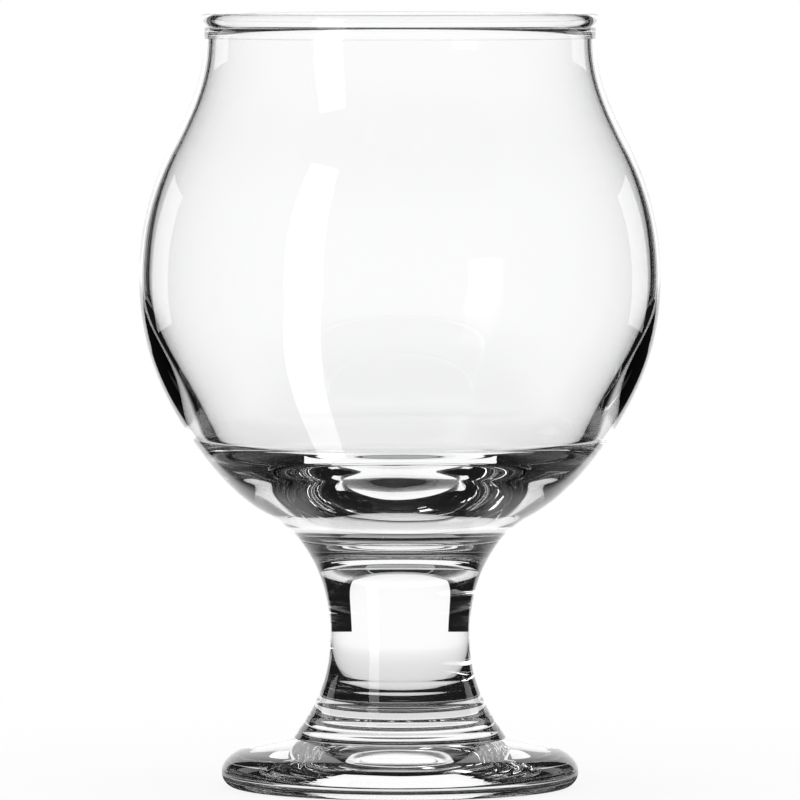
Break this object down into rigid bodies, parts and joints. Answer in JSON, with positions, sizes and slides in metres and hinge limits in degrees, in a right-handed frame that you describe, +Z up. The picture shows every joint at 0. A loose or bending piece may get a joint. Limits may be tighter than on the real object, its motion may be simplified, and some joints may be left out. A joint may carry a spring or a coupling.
{
  "type": "stackable beer glass",
  "caption": "Small footed beer glass in clear glass: round bowl drawn in to a narrow neck with a rolled rim, on a solid waisted stem and a round foot that passes its mouth for stacking.",
  "frame": {"origin": "middle of the flat ring under the foot that the glass stands on", "axes": "+Z up along the axis of the glass, from the foot to the rim; X and Y are any two level directions"},
  "size_m": [0.0706, 0.0706, 0.1048],
  "materials": {
    "clear_glass": "fire-polished, clear and colourless"
  },
  "bodies": {
    "root": {"bowl": "clear_glass", "stem": "clear_glass", "foot": "clear_glass"}
  },
  "joints": []
}
